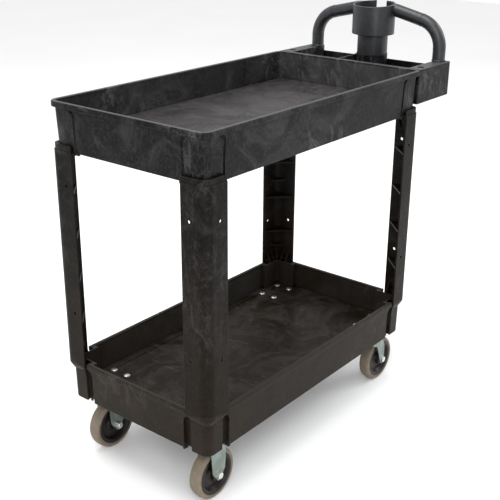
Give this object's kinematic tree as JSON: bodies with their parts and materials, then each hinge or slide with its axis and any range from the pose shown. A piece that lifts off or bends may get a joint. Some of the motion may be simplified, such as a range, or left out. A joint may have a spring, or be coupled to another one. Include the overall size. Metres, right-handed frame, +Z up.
{
  "type": "food service trolley",
  "caption": "Push trolley with deep upper and lower trays on angle legs, a bin box with a looped handle and cup holder, and fixed and swivel casters.",
  "frame": {"origin": "on the ground, below the middle of the trolley's outline", "axes": "+X towards the push handle, +Y towards the right side seen from the fixed-wheel end, +Z up"},
  "size_m": [1.022, 0.458, 1.029],
  "materials": {
    "tray_plastic": "matte, fine texture",
    "leg_plastic": "matte, fine texture",
    "handle_plastic": "satin",
    "core_plastic": "satin",
    "tread_rubber": "matte",
    "zinc_steel": "zinc plated",
    "bolt_steel": "zinc plated"
  },
  "bodies": {
    "frame": {"top_tray": "tray_plastic", "bottom_tray": "tray_plastic", "handle_box": "tray_plastic", "push_handle": "handle_plastic", "handle_screws": "bolt_steel", "box_screws": "bolt_steel", "caster_bolts": "bolt_steel", "caster_nuts": "bolt_steel", "leg_front_left": "leg_plastic", "leg_front_right": "leg_plastic", "leg_rear_left": "leg_plastic", "leg_rear_right": "leg_plastic", "axle_bolt_front_left": "bolt_steel", "axle_nut_front_left": "bolt_steel", "axle_sleeve_front_left": "bolt_steel", "axle_bolt_front_right": "bolt_steel", "axle_nut_front_right": "bolt_steel", "axle_sleeve_front_right": "bolt_steel", "fixed_fork_left": "zinc_steel", "swivel_plate_left": "zinc_steel", "kingpin_left": "bolt_steel", "fixed_fork_right": "zinc_steel", "swivel_plate_right": "zinc_steel", "kingpin_right": "bolt_steel"},
    "swivel_left": {"swivel_fork_left": "zinc_steel", "race_balls_left": "bolt_steel", "axle_bolt_rear_left": "bolt_steel", "axle_nut_rear_left": "bolt_steel", "axle_sleeve_rear_left": "bolt_steel"},
    "swivel_right": {"swivel_fork_right": "zinc_steel", "race_balls_right": "bolt_steel", "axle_bolt_rear_right": "bolt_steel", "axle_nut_rear_right": "bolt_steel", "axle_sleeve_rear_right": "bolt_steel"},
    "wheel_front_left": {"tread_front_left": "tread_rubber", "wheel_core_front_left": "core_plastic"},
    "wheel_front_right": {"tread_front_right": "tread_rubber", "wheel_core_front_right": "core_plastic"},
    "wheel_rear_left": {"tread_rear_left": "tread_rubber", "wheel_core_rear_left": "core_plastic"},
    "wheel_rear_right": {"tread_rear_right": "tread_rubber", "wheel_core_rear_right": "core_plastic"}
  },
  "joints": [
    {"name": "swivel_turn_left", "type": "hinge", "parent": "frame", "child": "swivel_left", "pos_m": [0.249, -0.167, 0.14], "axis": [0, 0, 1], "continuous": true},
    {"name": "swivel_turn_right", "type": "hinge", "parent": "frame", "child": "swivel_right", "pos_m": [0.249, 0.167, 0.14], "axis": [0, 0, 1], "continuous": true},
    {"name": "wheel_turn_front_left", "type": "hinge", "parent": "frame", "child": "wheel_front_left", "pos_m": [-0.431, -0.167, 0.0635], "axis": [0, 1, 0], "continuous": true},
    {"name": "wheel_turn_front_right", "type": "hinge", "parent": "frame", "child": "wheel_front_right", "pos_m": [-0.431, 0.167, 0.0635], "axis": [0, 1, 0], "continuous": true},
    {"name": "wheel_turn_rear_left", "type": "hinge", "parent": "swivel_left", "child": "wheel_rear_left", "pos_m": [0.287, -0.167, 0.0635], "axis": [0, 1, 0], "continuous": true},
    {"name": "wheel_turn_rear_right", "type": "hinge", "parent": "swivel_right", "child": "wheel_rear_right", "pos_m": [0.287, 0.167, 0.0635], "axis": [0, 1, 0], "continuous": true}
  ]
}
